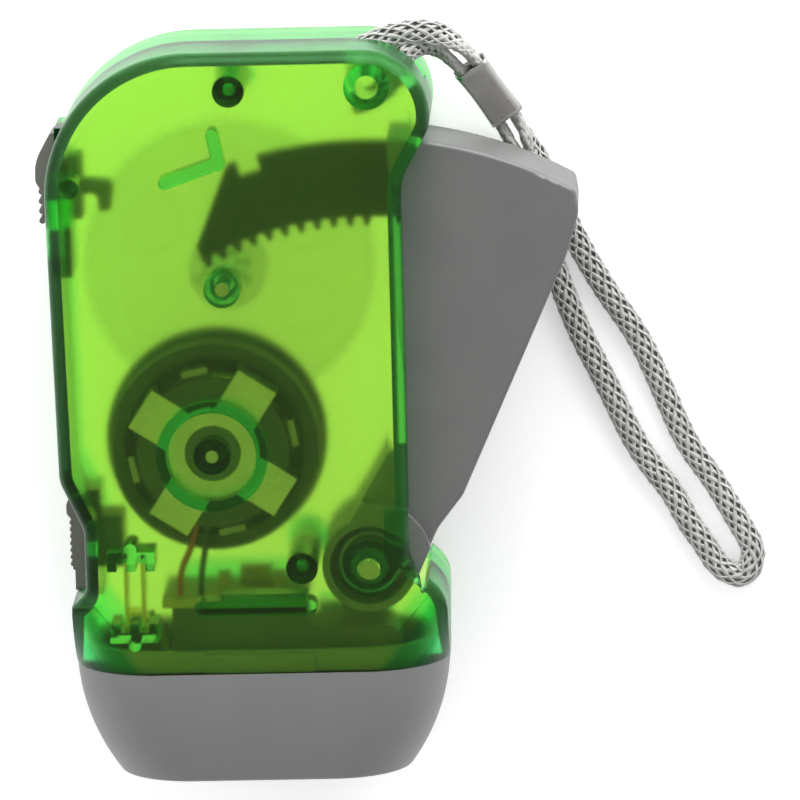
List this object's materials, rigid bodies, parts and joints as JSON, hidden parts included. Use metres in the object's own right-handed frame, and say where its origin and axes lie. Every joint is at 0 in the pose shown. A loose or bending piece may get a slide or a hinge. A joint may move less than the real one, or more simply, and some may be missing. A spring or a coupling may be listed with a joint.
{
  "type": "hand crank flashlight",
  "caption": "Hand-press dynamo torch: clear case with a squeeze lever, toothed sector, gear, flywheel generator, lamps, slide switch and wrist strap.",
  "frame": {"origin": "centre of the flat rear face that the torch lies on", "axes": "+Z from the rear face to the front face, +Y from the lens towards the strap end, +X towards the squeeze lever"},
  "size_m": [0.1023, 0.1068, 0.03],
  "materials": {
    "clear_green": "translucent, slightly frosted",
    "grey_plastic": "fine satin grain",
    "dark_plastic": "moulded black plastic",
    "white_plastic": "moulded natural nylon",
    "wheel_plastic": "dark moulded flywheel",
    "clear_plastic": "clear lens",
    "reflector_chrome": "vacuum metallised",
    "steel": "ground steel",
    "spring_steel": "drawn spring wire",
    "sheet_steel": "zinc plated sheet",
    "magnet": "sintered ferrite",
    "copper": "enamelled copper wire",
    "brass_leaf": "brass sheet",
    "board": "glass-filled circuit board",
    "led_clear": "clear epoxy",
    "strap_fabric": "braided nylon",
    "crimp_metal": "bright plated sheet",
    "wire_yellow": "wire insulation",
    "wire_red": "wire insulation",
    "wire_black": "wire insulation",
    "cell_steel": "nickel plated cell"
  },
  "bodies": {
    "case": {"front_shell": "clear_green", "rear_shell": "clear_green", "nose_cap": "grey_plastic", "lens": "clear_plastic", "reflector": "reflector_chrome", "led_1": "led_clear", "led_2": "led_clear", "led_3": "led_clear", "led_board": "board", "circuit_board": "board", "lamp_holder": "white_plastic", "button_cells": "cell_steel", "lever_pin": "steel", "lever_spring": "spring_steel", "gear_axle": "steel", "flywheel_axle": "steel", "claw_plate_front": "sheet_steel", "claw_plate_rear": "sheet_steel", "stator_core": "steel", "stator_bush": "white_plastic", "coil_bobbin": "white_plastic", "coil_winding": "copper", "switch_bezel": "grey_plastic", "switch_body": "dark_plastic", "contact_leaf": "brass_leaf", "case_screws": "steel", "strap_cord": "strap_fabric", "strap_crimp": "crimp_metal", "lead_yellow": "wire_yellow", "lead_red": "wire_red", "lead_black": "wire_black"},
    "lever": {"lever": "grey_plastic"},
    "pinion": {"drive_pinion": "white_plastic", "clutch_spring": "spring_steel"},
    "gear": {"drive_gear": "white_plastic"},
    "flywheel": {"flywheel": "wheel_plastic", "ring_magnet": "magnet"},
    "lock": {"lock_slider": "grey_plastic"},
    "switch": {"switch_knob": "grey_plastic"}
  },
  "joints": [
    {"name": "flywheel_spin", "type": "hinge", "parent": "case", "child": "flywheel", "pos_m": [-0.00612, -0.00506, 0.015], "axis": [0, 0, 1], "range_deg": [-2061, 0]},
    {"name": "lever_hinge", "type": "hinge", "parent": "case", "child": "lever", "pos_m": [0.0157, -0.0216, 0.015], "axis": [0, 0, 1], "range_deg": [0, 22], "stiffness_Nm_per_rad": 0.3, "springref_deg": -17.19, "deforming": ["lever_spring"]},
    {"name": "pinion_spin", "type": "hinge", "parent": "case", "child": "pinion", "pos_m": [-0.00403, 0.01885, 0.015], "axis": [0, 0, 1], "range_deg": [0, 352]},
    {"name": "gear_spin", "type": "hinge", "parent": "case", "child": "gear", "pos_m": [-0.00403, 0.01885, 0.015], "axis": [0, 0, 1], "range_deg": [0, 352]},
    {"name": "lock_slide", "type": "slide", "parent": "case", "child": "lock", "axis": [0, -1, 0], "range_m": [0, 0.004]},
    {"name": "switch_slide", "type": "slide", "parent": "case", "child": "switch", "axis": [0, -1, 0], "range_m": [0, 0.002]}
  ],
  "couplings": [
    {"joint": "lever_hinge", "follows": "flywheel_spin", "ratio": -0.010671},
    {"joint": "pinion_spin", "follows": "flywheel_spin", "ratio": -0.17073},
    {"joint": "gear_spin", "follows": "flywheel_spin", "ratio": -0.17073}
  ]
}
